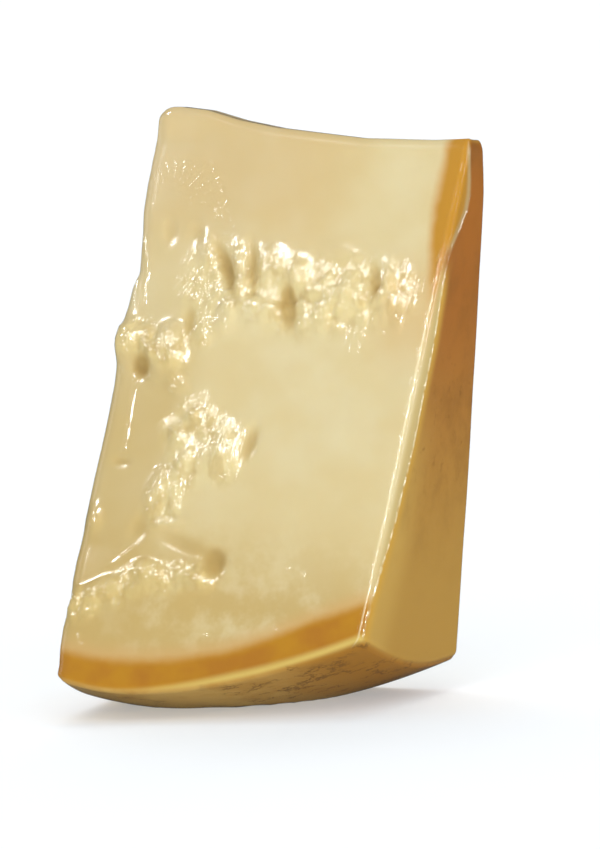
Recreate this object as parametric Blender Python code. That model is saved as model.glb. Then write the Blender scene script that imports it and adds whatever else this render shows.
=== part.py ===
"""A chunk of hard grating cheese: half the height of a wheel, standing on its curved rind.

The chunk is worked out in the wheel's own terms. x runs along the wheel's axis from the broken
left face (0) to the flat rind (WIDTH), rho is the distance from that axis, and phi is the angle
round it from straight down, positive to the back. Lengths are metres, angles are degrees.
"""
import math

import bmesh
import bpy
import numpy as np
from mathutils import Vector

# The wheel and the wedge that is cut from it
WHEEL_RADIUS = 0.220
WIDTH = 0.1022
WEDGE_ANGLE = 22.8
TIP_RADIUS = 0.0300
WALL_BULGE = 0.0269
WALL_POWER = 1.7
WALL_CREST_X = 0.017
WALL_LEFT_DROP = 0.0016
WALL_BACK_DROP = 0.0024
RIND_BULGE = 0.0013

# The outline in centimetres: the cut tip as (x, rho) points, and the left face's front edge as (rho, x)
TIP_LINE = [
    (0.0, 3.14), (0.6, 3.05), (1.4, 3.05), (2.3, 3.24), (3.4, 3.34), (6.5, 3.34), (8.9, 3.13), (10.2, 2.93),
]
LEFT_EDGE = [
    (3.3, -0.62), (4.0, -0.64), (4.8, -0.67), (5.6, -0.64), (6.5, -0.53), (7.2, -0.37), (7.9, -0.26),
    (8.5, -0.16), (9.0, -0.28), (9.6, -0.30), (10.3, -0.40), (10.9, -0.36), (11.5, -0.27), (12.2, -0.19),
    (16.0, -0.17), (17.0, -0.12), (18.0, -0.12), (18.7, -0.05), (19.2, 0.05), (20.2, 0.00), (20.8, 0.05),
    (21.4, 0.15),
]

# The hidden sides: the back break is thicker towards the left, and the left face runs out to the back
BACK_EXTRA_ANGLE = 5.0
LEFT_FACE_SLANT = 10.0

# How the chunk stands: turned back about the wheel's axis, then over towards the flat rind
LEAN_BACK = 8.9
LEAN_RIGHT = 8.0
REST_FLAT_DEPTH = 0.0040

# Rounding of the edges: left and right along the axis, tip and wall, front and back. The edge between
# the front break and the flat rind is rounded off far back into the rind.
ROUND_AXIS = (0.0045, 0.0020)
ROUND_RADIUS = (0.0045, 0.0022)
ROUND_THICKNESS = (0.0030, 0.0022)
ROUND_FRONT_RIGHT = 0.0070
FRONT_RIGHT_STARTS = (0.060, 0.090)

# Fineness of the surface before it is thinned, and the share of its triangles that is kept
STEPS_AXIS = 64
STEPS_RADIUS = 118
STEPS_THICKNESS = 22
EDGE_CROWDING = 0.55
KEPT_SHARE = 0.235

# Break relief. A band is a line of (x, rho) points in centimetres with a half width and a height
# in millimetres: crags of about one grain size stand out along it.
CRAG_BANDS = {
    "upper": ([(2.9, 8.5), (4.4, 8.6), (5.8, 8.8), (7.2, 8.6), (8.4, 8.3)], 1.15, 3.2),
    "fringe": ([(2.4, 9.2), (2.6, 10.4)], 0.45, 1.6),
    "knob": ([(-0.3, 10.8), (0.5, 10.7), (1.9, 11.1)], 0.60, 2.6),
    "middle": ([(3.0, 12.9), (4.2, 13.5), (4.3, 14.5)], 0.55, 1.6),
    "left": ([(2.5, 13.6), (3.0, 14.6), (2.4, 16.2)], 0.50, 1.8),
    "ledge": ([(0.4, 19.4), (1.3, 18.9), (2.4, 18.3), (4.4, 18.0)], 0.45, 2.4),
}
# Single lumps on the front break and hollows in it: the place (x, rho) and the half lengths in
# centimetres, the turn in degrees, and the height or depth in millimetres
LUMPS = {
    "beside_cleft": (2.25, 7.50, 0.30, 0.60, -15.0, 1.3),
    "after_cleft": (3.42, 8.20, 0.27, 0.85, -15.0, 2.4),
    "upper_first": (4.45, 7.80, 0.50, 0.60, 0.0, 1.8),
    "upper_low": (4.45, 9.25, 0.50, 0.50, 20.0, 2.0),
    "upper_second": (5.45, 8.05, 0.42, 0.50, 0.0, 2.4),
    "upper_third": (6.35, 8.30, 0.42, 0.42, 0.0, 1.6),
    "upper_third_low": (6.50, 9.30, 0.55, 0.35, 0.0, 1.6),
    "upper_main": (7.25, 8.45, 0.45, 0.60, 0.0, 2.8),
    "upper_faint": (6.70, 7.20, 0.60, 0.40, 0.0, 0.9),
    "upper_last": (8.50, 8.00, 0.24, 0.70, -15.0, 1.9),
    "below_cleft": (3.25, 9.70, 0.32, 0.55, -10.0, 1.7),
    "fringe_low": (2.70, 10.20, 0.35, 0.45, 0.0, 1.2),
    "small_knob": (0.25, 10.90, 0.45, 0.55, 0.0, 2.6),
    "big_knob": (1.65, 11.15, 0.60, 0.70, 0.0, 3.8),
    "big_knob_top": (1.70, 10.35, 0.35, 0.30, 0.0, 2.0),
    "knob_foot": (2.20, 12.00, 0.38, 0.32, 30.0, 1.3),
    "middle_dot": (2.95, 12.95, 0.22, 0.18, 0.0, 1.2),
    "middle_left": (2.55, 13.65, 0.24, 0.36, -20.0, 1.6),
    "middle_centre": (2.95, 14.50, 0.26, 0.55, 15.0, 1.8),
    "middle_next": (3.50, 14.30, 0.24, 0.36, 0.0, 1.5),
    "flat_topped": (4.15, 14.00, 0.55, 0.58, 0.0, 2.3),
    "below_middle": (2.30, 15.40, 0.34, 0.70, 15.0, 1.5),
    "low_ridge": (2.80, 16.48, 0.55, 0.14, -12.0, 1.1),
    "left_bump": (0.35, 16.60, 0.28, 0.40, 0.0, 1.6),
    "ledge_left": (1.20, 18.85, 0.75, 0.26, -32.0, 1.5),
    "ledge_middle": (2.60, 18.22, 0.50, 0.28, -15.0, 1.4),
    "ledge_right": (4.05, 18.16, 0.42, 0.30, 0.0, 1.6),
}
HOLLOWS = {
    "cleft": (3.00, 8.20, 0.22, 1.05, -32.0, 2.3),
    "second_cleft": (3.80, 8.00, 0.18, 0.85, -13.0, 1.7),
    "third_cleft": (5.30, 9.10, 0.28, 0.75, -15.0, 2.6),
    "last_cleft": (8.02, 7.95, 0.22, 0.55, -20.0, 1.7),
    "beside_fringe": (2.10, 9.90, 0.18, 0.50, -10.0, 1.2),
    "upper_left_first": (0.95, 7.10, 0.22, 0.42, 0.0, 0.7),
    "upper_left_second": (1.80, 7.05, 0.26, 0.32, 0.0, 0.7),
    "between_knobs": (0.90, 11.50, 0.28, 0.36, 0.0, 2.6),
    "beside_middle": (4.98, 13.60, 0.22, 0.60, 8.0, 1.6),
    "above_middle": (2.85, 13.35, 0.26, 0.20, 0.0, 0.9),
    "strip_dent": (0.85, 14.65, 0.32, 0.15, 0.0, 0.9),
    "strip_low": (1.90, 16.70, 0.28, 0.50, 10.0, 0.8),
    "above_ledge": (3.60, 17.00, 1.10, 0.30, 13.0, 1.3),
    "ledge_end": (4.66, 17.48, 0.36, 0.46, 0.0, 2.2),
}
BACK_BANDS = {
    "high": ([(0.5, 8.0), (3.5, 7.2), (7.5, 9.0)], 1.30, 3.0),
    "low": ([(1.5, 17.5), (4.5, 15.5), (8.8, 16.8)], 1.60, 3.6),
}
LEFT_BANDS = {
    "high": ([(2.4, 7.0), (2.8, 9.5), (3.8, 12.0)], 0.90, 2.4),
    "low": ([(6.5, 15.0), (4.0, 17.5), (2.0, 19.0)], 1.30, 3.0),
}
CRAG_GRAIN = 1.15
CRAG_FINER = 0.55
CRAG_BEND = 0.30
CRAG_REACH = 1.5
FACET_SHARPNESS = 13.0
FACET_TILT = 1.3
LUMP_BLUNTNESS = 1.4

# The strip left of this line, given as (rho, x) in centimetres, breaks away backwards
STRIP_LINE = [(3.0, 3.3), (7.2, 3.2), (10.8, 2.65), (15.0, 2.7), (17.4, 2.1), (19.4, 0.3)]
STRIP_SLOPE = 0.13
# Slow unevenness that the broken faces have everywhere, and the two rind faces much less
BREAK_WAVE = 0.0011
BREAK_WAVE_LENGTH = 0.034
RIND_WAVE = 0.0004
RIND_WAVE_LENGTH = 0.045

CENTIMETRE = 0.01
MILLIMETRE = 0.001


def clear_scene():
    for item in list(bpy.data.objects):
        bpy.data.objects.remove(item, do_unlink=True)


def smooth_step(low, high, value):
    t = np.clip((value - low) / (high - low), 0.0, 1.0)
    return t * t * (3.0 - 2.0 * t)


def scatter(i, j, salt):
    """A fixed number from 0 to 1 for each cell (i, j)."""
    mixed = np.sin(i * 127.1 + j * 311.7 + salt * 74.7) * 43758.5453
    return mixed - np.floor(mixed)


def grains(x, y, size, salt):
    """Crags of about one size: 1 on their tops and 0 in the cracks between them."""
    gx = x / size
    gy = y / size
    cell_x = np.floor(gx)
    cell_y = np.floor(gy)
    nearest = np.full(gx.shape, 9.0)
    second = np.full(gx.shape, 9.0)
    for step_x in (-1, 0, 1):
        for step_y in (-1, 0, 1):
            i = cell_x + step_x
            j = cell_y + step_y
            seed_x = i + 0.15 + 0.7 * scatter(i, j, salt)
            seed_y = j + 0.15 + 0.7 * scatter(i, j, salt + 5.0)
            gap = np.hypot(gx - seed_x, gy - seed_y)
            second = np.minimum(second, np.maximum(nearest, gap))
            nearest = np.minimum(nearest, gap)
    return smooth_step(0.0, 0.55, second - nearest) * (1.0 - 0.35 * nearest)


def facets(x, y, size, salt):
    """Broken lumps of about one size: facets at random heights and tilts, softly joined."""
    gx = x / size
    gy = y / size
    cell_x = np.floor(gx)
    cell_y = np.floor(gy)
    total = np.zeros(gx.shape)
    weights = np.zeros(gx.shape)
    for step_x in (-1, 0, 1):
        for step_y in (-1, 0, 1):
            i = cell_x + step_x
            j = cell_y + step_y
            off_x = gx - (i + 0.15 + 0.7 * scatter(i, j, salt))
            off_y = gy - (j + 0.15 + 0.7 * scatter(i, j, salt + 5.0))
            weight = np.exp(-FACET_SHARPNESS * (off_x ** 2 + off_y ** 2))
            level = scatter(i, j, salt + 11.0)
            level += FACET_TILT * (scatter(i, j, salt + 17.0) - 0.5) * off_x
            level += FACET_TILT * (scatter(i, j, salt + 23.0) - 0.5) * off_y
            total += weight * level
            weights += weight
    return total / weights


def waves(x, y, length, salt):
    """Slow unevenness between about -1 and 1, about one length from crest to crest."""
    total = np.zeros_like(x)
    for finer, share in ((1.0, 0.7), (2.3, 0.3)):
        gx = (x + 0.35 * y) / length * finer + 11.3
        gy = (y - 0.35 * x) / length * finer + 7.7
        i = np.floor(gx)
        j = np.floor(gy)
        fx = smooth_step(0.0, 1.0, gx - i)
        fy = smooth_step(0.0, 1.0, gy - j)
        near = scatter(i, j, salt) * (1.0 - fx) + scatter(i + 1.0, j, salt) * fx
        far = scatter(i, j + 1.0, salt) * (1.0 - fx) + scatter(i + 1.0, j + 1.0, salt) * fx
        total += share * (2.0 * (near * (1.0 - fy) + far * fy) - 1.0)
    return total


def along_line(place, line):
    """The second number of a line of number pairs, at a place given in their first number."""
    return np.interp(place, [pair[0] for pair in line], [pair[1] for pair in line])


def line_distance(x, y, line):
    """The distance from each (x, y) to a line of points, in the line's own units."""
    best = np.full(np.shape(x), 99.0)
    for (x0, y0), (x1, y1) in zip(line[:-1], line[1:]):
        dx = x1 - x0
        dy = y1 - y0
        t = np.clip(((x - x0) * dx + (y - y0) * dy) / (dx * dx + dy * dy), 0.0, 1.0)
        best = np.minimum(best, np.hypot(x - x0 - t * dx, y - y0 - t * dy))
    return best


def crags(x, rho, bands, salt):
    """How far the crags of all bands stand out, in metres; x and rho are in centimetres."""
    height = np.zeros_like(x)
    bent_x = x + CRAG_BEND * waves(x, rho, 1.7, salt + 3.0)
    bent_rho = rho + CRAG_BEND * waves(x, rho, 1.7, salt + 9.0)
    shape = 0.45 * facets(bent_x, bent_rho, CRAG_GRAIN, salt)
    shape += 0.30 * facets(bent_x, bent_rho, CRAG_GRAIN * CRAG_FINER, salt + 2.0)
    shape += 0.25 * grains(bent_x, bent_rho, CRAG_GRAIN * CRAG_FINER, salt + 6.0)
    shape = np.clip((shape - 0.25) / 0.50, 0.0, 1.2)
    for line, half_width, tall in bands.values():
        ragged = line_distance(x, rho, line) + 0.18 * waves(x, rho, 1.9, salt)
        inside = 1.0 - smooth_step(0.35 * half_width, CRAG_REACH * half_width, ragged)
        height = np.maximum(height, inside * (0.15 + 0.85 * shape) * tall * MILLIMETRE)
    return height


def round_rises(x, rho, places):
    """Single lumps with blunt tops at the given places, in metres."""
    height = np.zeros_like(x)
    for place_x, place_rho, half_x, half_rho, turn, tall in places.values():
        c = math.cos(math.radians(turn))
        s = math.sin(math.radians(turn))
        along = ((x - place_x) * c + (rho - place_rho) * s) / half_x
        across = ((rho - place_rho) * c - (x - place_x) * s) / half_rho
        height += tall * MILLIMETRE * np.exp(-(along ** 2 + across ** 2) ** LUMP_BLUNTNESS)
    return height


def strip_fall(x, rho):
    """How far the left strip of the front break falls back, in metres."""
    past = along_line(rho, STRIP_LINE) - x
    return STRIP_SLOPE * CENTIMETRE * (np.sqrt(past ** 2 + 0.09) + past) / 2.0


def front_relief(x, rho):
    """The front break stands out this far from its flat cut, in metres."""
    x_cm = x / CENTIMETRE
    rho_cm = rho / CENTIMETRE
    slow = BREAK_WAVE * 0.6 * waves(x, rho, BREAK_WAVE_LENGTH, 0.0)
    single = round_rises(x_cm, rho_cm, LUMPS) - round_rises(x_cm, rho_cm, HOLLOWS)
    return crags(x_cm, rho_cm, CRAG_BANDS, 1.0) + single - strip_fall(x_cm, rho_cm) + slow


def back_relief(x, rho):
    slow = BREAK_WAVE * waves(x, rho, BREAK_WAVE_LENGTH, 2.0)
    return crags(x / CENTIMETRE, rho / CENTIMETRE, BACK_BANDS, 7.0) + slow


def left_relief(depth, rho):
    slow = BREAK_WAVE * waves(depth, rho, BREAK_WAVE_LENGTH, 4.0)
    return crags(depth / CENTIMETRE, rho / CENTIMETRE, LEFT_BANDS, 12.0) + slow


def wall_radius(x):
    """The wheel's side wall: highest at the crest, falling towards the flat rind."""
    to_right = np.clip((x - WALL_CREST_X) / (WIDTH - WALL_CREST_X), 0.0, 1.0)
    to_left = np.clip((WALL_CREST_X - x) / WALL_CREST_X, 0.0, 1.0)
    return WHEEL_RADIUS - WALL_BULGE * to_right ** WALL_POWER - WALL_LEFT_DROP * to_left ** 2


def tip_radius(x):
    """The cut tip, which sags a little between its two ends."""
    return CENTIMETRE * along_line(x / CENTIMETRE, TIP_LINE)


def left_face_x(rho):
    """The left face leans out near the tip and where crags run out over its edge."""
    return CENTIMETRE * along_line(rho / CENTIMETRE, LEFT_EDGE)


def crowded(count):
    """Fractions from 0 to 1 that lie closer together near both ends."""
    even = np.linspace(0.0, 1.0, count + 1)
    return even - EDGE_CROWDING * np.sin(2.0 * math.pi * even) / (2.0 * math.pi)


def box_shell(steps):
    """The points and faces of a box's surface, as whole-number places on a grid."""
    found = {}
    places = []
    faces = []

    def corner(place):
        if place not in found:
            found[place] = len(places)
            places.append(place)
        return found[place]

    for axis in range(3):
        second = (axis + 1) % 3
        third = (axis + 2) % 3
        for level in (0, steps[axis]):
            for i in range(steps[second]):
                for j in range(steps[third]):
                    ring = []
                    for di, dj in ((0, 0), (1, 0), (1, 1), (0, 1)):
                        place = [0, 0, 0]
                        place[axis] = level
                        place[second] = i + di
                        place[third] = j + dj
                        ring.append(corner(tuple(place)))
                    faces.append(ring if level else ring[::-1])
    return np.array(places), faces


def rounded(fraction, length, near, far):
    """Splits a place along one side into its inner place, its share of the rounding and the radius."""
    real = fraction * length
    inner = np.clip(real, near, length - far)
    radius = np.where(real < length / 2.0, near, far)
    return inner, (real - inner) / radius, radius


def chunk_points(places, steps):
    """Every point of the surface in the wheel's frame, before the chunk is stood up."""
    u = crowded(steps[0])[places[:, 0]]
    v = crowded(steps[1])[places[:, 1]]
    w = crowded(steps[2])[places[:, 2]]
    rho_guess = TIP_RADIUS + v * (wall_radius(u * WIDTH) - TIP_RADIUS)
    thickness = rho_guess * math.radians(WEDGE_ANGLE)
    reach = wall_radius(u * WIDTH) - tip_radius(u * WIDTH)
    widened = smooth_step(0.75, 0.95, u) * smooth_step(*FRONT_RIGHT_STARTS, rho_guess)
    front = ROUND_THICKNESS[0] + (ROUND_FRONT_RIGHT - ROUND_THICKNESS[0]) * widened
    front = np.minimum(front, 0.4 * thickness)
    inner_x, edge_x, round_x = rounded(u, WIDTH, *ROUND_AXIS)
    inner_r, edge_r, round_r = rounded(v, reach, *ROUND_RADIUS)
    inner_w, edge_w, round_w = rounded(w, thickness, front, ROUND_THICKNESS[1])
    size = np.maximum(np.sqrt(edge_x ** 2 + edge_r ** 2 + edge_w ** 2), 1e-9)
    x = inner_x + round_x * edge_x / size
    rho = tip_radius(u * WIDTH) + inner_r + round_r * edge_r / size
    through = (inner_w + round_w * edge_w / size) / thickness

    depth = through * rho * math.radians(WEDGE_ANGLE)
    near_left = 1.0 - smooth_step(0.0, 0.35, u)
    near_front = 1.0 - smooth_step(0.0, 0.5, through)
    near_back = smooth_step(0.5, 1.0, through)
    away_from_heel = smooth_step(0.0, 0.010, wall_radius(x) - rho)
    away_from_tip = 0.3 + 0.7 * smooth_step(0.0, 0.012, rho - tip_radius(x))
    away_from_flat_rind = smooth_step(0.0, 0.012, WIDTH - x)
    broken = away_from_heel * away_from_tip

    out_front = front_relief(x, rho) * near_front * broken * away_from_flat_rind
    out_back = back_relief(x, rho) * near_back * broken * away_from_flat_rind
    out_left = left_relief(depth, rho) * (1.0 - smooth_step(0.0, 0.2, u)) * broken
    rind = RIND_WAVE * waves(depth, rho, RIND_WAVE_LENGTH, 6.0) * smooth_step(0.9, 1.0, u)
    bulge = RIND_BULGE * smooth_step(0.0, 0.12, v) * (1.0 - v) ** 0.35 * smooth_step(0.2, 1.0, through)
    rind += bulge * smooth_step(0.6, 1.0, u)
    wall = RIND_WAVE * waves(x, depth, RIND_WAVE_LENGTH, 8.0) * smooth_step(0.9, 1.0, v)
    drop = WALL_BACK_DROP * smooth_step(0.1, 0.85, u) * smooth_step(0.0, 0.7, through)
    wall += drop * smooth_step(0.7, 1.0, v)

    turn = math.radians(WEDGE_ANGLE) * (through - 0.5)
    turn += math.radians(BACK_EXTRA_ANGLE) * (1.0 - u) * through ** 2
    turn += (out_back - out_front) / rho
    slant = math.tan(math.radians(LEFT_FACE_SLANT)) * depth
    x = x + (left_face_x(rho) - slant - out_left) * near_left + rind
    rho = rho + wall
    phi = turn - math.radians(LEAN_BACK)
    return np.stack([x - WIDTH / 2.0, rho * np.sin(phi), -rho * np.cos(phi)], axis=1)


def stand_up(points):
    """Turns the points over towards the flat rind, about the axis that runs front to back."""
    c = math.cos(math.radians(LEAN_RIGHT))
    s = math.sin(math.radians(LEAN_RIGHT))
    x = points[:, 0] * c + points[:, 2] * s
    z = points[:, 2] * c - points[:, 0] * s
    return np.stack([x, points[:, 1], z], axis=1)


def chunk_mesh():
    steps = (STEPS_AXIS, STEPS_RADIUS, STEPS_THICKNESS)
    places, faces = box_shell(steps)
    points = stand_up(chunk_points(places, steps))
    mesh = bpy.data.meshes.new("parmesan_chunk")
    mesh.from_pydata([tuple(point) for point in points.tolist()], [], faces)
    mesh.update()
    return mesh


def thin_out(obj):
    """Keeps small faces on the crags and large ones where the surface is smooth."""
    thinner = obj.modifiers.new("fewer faces", "DECIMATE")
    thinner.ratio = KEPT_SHARE
    thinner.use_collapse_triangulate = True
    evaluated = obj.evaluated_get(bpy.context.evaluated_depsgraph_get())
    thinned = bpy.data.meshes.new_from_object(evaluated)
    obj.modifiers.remove(thinner)
    obj.data = thinned


def flatten_foot(obj):
    """Cuts the flat spot that the chunk stands on, and puts the origin under the chunk's middle."""
    work = bmesh.new()
    work.from_mesh(obj.data)
    floor = min(vertex.co.z for vertex in work.verts) + REST_FLAT_DEPTH
    everything = list(work.verts) + list(work.edges) + list(work.faces)
    cut = bmesh.ops.bisect_plane(
        work,
        geom=everything,
        dist=1e-6,
        plane_co=(0.0, 0.0, floor),
        plane_no=(0.0, 0.0, 1.0),
        clear_inner=True,
    )
    rim = [item for item in cut["geom_cut"] if isinstance(item, bmesh.types.BMEdge)]
    bmesh.ops.contextual_create(work, geom=rim)
    bmesh.ops.recalc_face_normals(work, faces=list(work.faces))
    bmesh.ops.triangulate(work, faces=list(work.faces))
    low = [min(vertex.co[axis] for vertex in work.verts) for axis in range(3)]
    high = [max(vertex.co[axis] for vertex in work.verts) for axis in range(3)]
    middle = Vector(((low[0] + high[0]) / 2.0, (low[1] + high[1]) / 2.0, low[2]))
    for vertex in work.verts:
        vertex.co -= middle
    work.to_mesh(obj.data)
    work.free()


def cheese_material():
    material = bpy.data.materials.new("cheese paste")
    material.use_nodes = True
    shader = material.node_tree.nodes["Principled BSDF"]
    shader.inputs["Base Color"].default_value = (0.76, 0.62, 0.32, 1.0)
    shader.inputs["Roughness"].default_value = 0.42
    shader.inputs["Metallic"].default_value = 0.0
    return material


def build_chunk():
    chunk = bpy.data.objects.new("parmesan_chunk", chunk_mesh())
    bpy.context.scene.collection.objects.link(chunk)
    thin_out(chunk)
    flatten_foot(chunk)
    chunk.data.materials.clear()
    chunk.data.materials.append(cheese_material())
    chunk.data.shade_smooth()
    chunk.data.set_sharp_from_angle(angle=math.radians(40.0))
    return chunk


clear_scene()
build_chunk()
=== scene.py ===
"""The looks of the cheese chunk: its paste and rind, and the clear film that is drawn tight over it."""
import math

import bpy
import numpy as np
from mathutils import Matrix, Vector


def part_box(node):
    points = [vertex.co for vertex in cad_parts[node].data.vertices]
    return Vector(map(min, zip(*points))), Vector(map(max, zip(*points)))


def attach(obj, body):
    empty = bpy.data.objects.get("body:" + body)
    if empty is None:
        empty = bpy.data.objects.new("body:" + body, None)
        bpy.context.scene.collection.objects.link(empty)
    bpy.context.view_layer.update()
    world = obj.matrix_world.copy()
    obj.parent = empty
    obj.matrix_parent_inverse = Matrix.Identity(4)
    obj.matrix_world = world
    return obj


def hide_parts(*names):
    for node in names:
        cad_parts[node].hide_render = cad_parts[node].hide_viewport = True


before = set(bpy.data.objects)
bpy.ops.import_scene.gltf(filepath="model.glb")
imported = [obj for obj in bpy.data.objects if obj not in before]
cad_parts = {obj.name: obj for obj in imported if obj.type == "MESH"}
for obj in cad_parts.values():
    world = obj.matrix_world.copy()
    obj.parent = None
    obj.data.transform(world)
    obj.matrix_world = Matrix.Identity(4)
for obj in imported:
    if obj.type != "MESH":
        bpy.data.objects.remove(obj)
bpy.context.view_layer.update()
NODE = "parmesan_chunk"

# The wheel and the wedge that is cut from it
WHEEL_RADIUS = 0.220
WIDTH = 0.1022
WEDGE_ANGLE = 22.8
TIP_RADIUS = 0.0300
WALL_BULGE = 0.0269
WALL_POWER = 1.7
WALL_CREST_X = 0.017
WALL_LEFT_DROP = 0.0016
WALL_BACK_DROP = 0.0024
RIND_BULGE = 0.0013

# The outline in centimetres: the cut tip as (x, rho) points, and the left face's front edge as (rho, x)
TIP_LINE = [
    (0.0, 3.14), (0.6, 3.05), (1.4, 3.05), (2.3, 3.24), (3.4, 3.34), (6.5, 3.34), (8.9, 3.13), (10.2, 2.93),
]
LEFT_EDGE = [
    (3.3, -0.62), (4.0, -0.64), (4.8, -0.67), (5.6, -0.64), (6.5, -0.53), (7.2, -0.37), (7.9, -0.26),
    (8.5, -0.16), (9.0, -0.28), (9.6, -0.30), (10.3, -0.40), (10.9, -0.36), (11.5, -0.27), (12.2, -0.19),
    (16.0, -0.17), (17.0, -0.12), (18.0, -0.12), (18.7, -0.05), (19.2, 0.05), (20.2, 0.00), (20.8, 0.05),
    (21.4, 0.15),
]

# The hidden sides: the back break is thicker towards the left, and the left face runs out to the back
BACK_EXTRA_ANGLE = 5.0
LEFT_FACE_SLANT = 10.0

# How the chunk stands: turned back about the wheel's axis, then over towards the flat rind
LEAN_BACK = 8.9
LEAN_RIGHT = 8.0
REST_FLAT_DEPTH = 0.0040

# Rounding of the edges: left and right along the axis, tip and wall, front and back. The edge between
# the front break and the flat rind is rounded off far back into the rind.
ROUND_AXIS = (0.0045, 0.0020)
ROUND_RADIUS = (0.0045, 0.0022)
ROUND_THICKNESS = (0.0030, 0.0022)
ROUND_FRONT_RIGHT = 0.0070
FRONT_RIGHT_STARTS = (0.060, 0.090)

# Break relief. A band is a line of (x, rho) points in centimetres with a half width and a height
# in millimetres: crags of about one grain size stand out along it.
CRAG_BANDS = {
    "upper": ([(2.9, 8.5), (4.4, 8.6), (5.8, 8.8), (7.2, 8.6), (8.4, 8.3)], 1.15, 3.2),
    "fringe": ([(2.4, 9.2), (2.6, 10.4)], 0.45, 1.6),
    "knob": ([(-0.3, 10.8), (0.5, 10.7), (1.9, 11.1)], 0.60, 2.6),
    "middle": ([(3.0, 12.9), (4.2, 13.5), (4.3, 14.5)], 0.55, 1.6),
    "left": ([(2.5, 13.6), (3.0, 14.6), (2.4, 16.2)], 0.50, 1.8),
    "ledge": ([(0.4, 19.4), (1.3, 18.9), (2.4, 18.3), (4.4, 18.0)], 0.45, 2.4),
}
# Single lumps on the front break and hollows in it: the place (x, rho) and the half lengths in
# centimetres, the turn in degrees, and the height or depth in millimetres
LUMPS = {
    "beside_cleft": (2.25, 7.50, 0.30, 0.60, -15.0, 1.3),
    "after_cleft": (3.42, 8.20, 0.27, 0.85, -15.0, 2.4),
    "upper_first": (4.45, 7.80, 0.50, 0.60, 0.0, 1.8),
    "upper_low": (4.45, 9.25, 0.50, 0.50, 20.0, 2.0),
    "upper_second": (5.45, 8.05, 0.42, 0.50, 0.0, 2.4),
    "upper_third": (6.35, 8.30, 0.42, 0.42, 0.0, 1.6),
    "upper_third_low": (6.50, 9.30, 0.55, 0.35, 0.0, 1.6),
    "upper_main": (7.25, 8.45, 0.45, 0.60, 0.0, 2.8),
    "upper_faint": (6.70, 7.20, 0.60, 0.40, 0.0, 0.9),
    "upper_last": (8.50, 8.00, 0.24, 0.70, -15.0, 1.9),
    "below_cleft": (3.25, 9.70, 0.32, 0.55, -10.0, 1.7),
    "fringe_low": (2.70, 10.20, 0.35, 0.45, 0.0, 1.2),
    "small_knob": (0.25, 10.90, 0.45, 0.55, 0.0, 2.6),
    "big_knob": (1.65, 11.15, 0.60, 0.70, 0.0, 3.8),
    "big_knob_top": (1.70, 10.35, 0.35, 0.30, 0.0, 2.0),
    "knob_foot": (2.20, 12.00, 0.38, 0.32, 30.0, 1.3),
    "middle_dot": (2.95, 12.95, 0.22, 0.18, 0.0, 1.2),
    "middle_left": (2.55, 13.65, 0.24, 0.36, -20.0, 1.6),
    "middle_centre": (2.95, 14.50, 0.26, 0.55, 15.0, 1.8),
    "middle_next": (3.50, 14.30, 0.24, 0.36, 0.0, 1.5),
    "flat_topped": (4.15, 14.00, 0.55, 0.58, 0.0, 2.3),
    "below_middle": (2.30, 15.40, 0.34, 0.70, 15.0, 1.5),
    "low_ridge": (2.80, 16.48, 0.55, 0.14, -12.0, 1.1),
    "left_bump": (0.35, 16.60, 0.28, 0.40, 0.0, 1.6),
    "ledge_left": (1.20, 18.85, 0.75, 0.26, -32.0, 1.5),
    "ledge_middle": (2.60, 18.22, 0.50, 0.28, -15.0, 1.4),
    "ledge_right": (4.05, 18.16, 0.42, 0.30, 0.0, 1.6),
}
HOLLOWS = {
    "cleft": (3.00, 8.20, 0.22, 1.05, -32.0, 2.3),
    "second_cleft": (3.80, 8.00, 0.18, 0.85, -13.0, 1.7),
    "third_cleft": (5.30, 9.10, 0.28, 0.75, -15.0, 2.6),
    "last_cleft": (8.02, 7.95, 0.22, 0.55, -20.0, 1.7),
    "beside_fringe": (2.10, 9.90, 0.18, 0.50, -10.0, 1.2),
    "upper_left_first": (0.95, 7.10, 0.22, 0.42, 0.0, 0.7),
    "upper_left_second": (1.80, 7.05, 0.26, 0.32, 0.0, 0.7),
    "between_knobs": (0.90, 11.50, 0.28, 0.36, 0.0, 2.6),
    "beside_middle": (4.98, 13.60, 0.22, 0.60, 8.0, 1.6),
    "above_middle": (2.85, 13.35, 0.26, 0.20, 0.0, 0.9),
    "strip_dent": (0.85, 14.65, 0.32, 0.15, 0.0, 0.9),
    "strip_low": (1.90, 16.70, 0.28, 0.50, 10.0, 0.8),
    "above_ledge": (3.60, 17.00, 1.10, 0.30, 13.0, 1.3),
    "ledge_end": (4.66, 17.48, 0.36, 0.46, 0.0, 2.2),
}
BACK_BANDS = {
    "high": ([(0.5, 8.0), (3.5, 7.2), (7.5, 9.0)], 1.30, 3.0),
    "low": ([(1.5, 17.5), (4.5, 15.5), (8.8, 16.8)], 1.60, 3.6),
}
LEFT_BANDS = {
    "high": ([(2.4, 7.0), (2.8, 9.5), (3.8, 12.0)], 0.90, 2.4),
    "low": ([(6.5, 15.0), (4.0, 17.5), (2.0, 19.0)], 1.30, 3.0),
}
CRAG_GRAIN = 1.15
CRAG_FINER = 0.55
CRAG_BEND = 0.30
CRAG_REACH = 1.5
FACET_SHARPNESS = 13.0
FACET_TILT = 1.3
LUMP_BLUNTNESS = 1.4
CRAG_SINK = 0.25

# The strip left of this line, given as (rho, x) in centimetres, breaks away backwards
STRIP_LINE = [(3.0, 3.3), (7.2, 3.2), (10.8, 2.65), (15.0, 2.7), (17.4, 2.1), (19.4, 0.3)]
STRIP_SLOPE = 0.13
# Slow unevenness that the broken faces have everywhere, and the two rind faces much less
BREAK_WAVE = 0.0011
BREAK_WAVE_LENGTH = 0.034
RIND_WAVE = 0.0004
RIND_WAVE_LENGTH = 0.045

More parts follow.
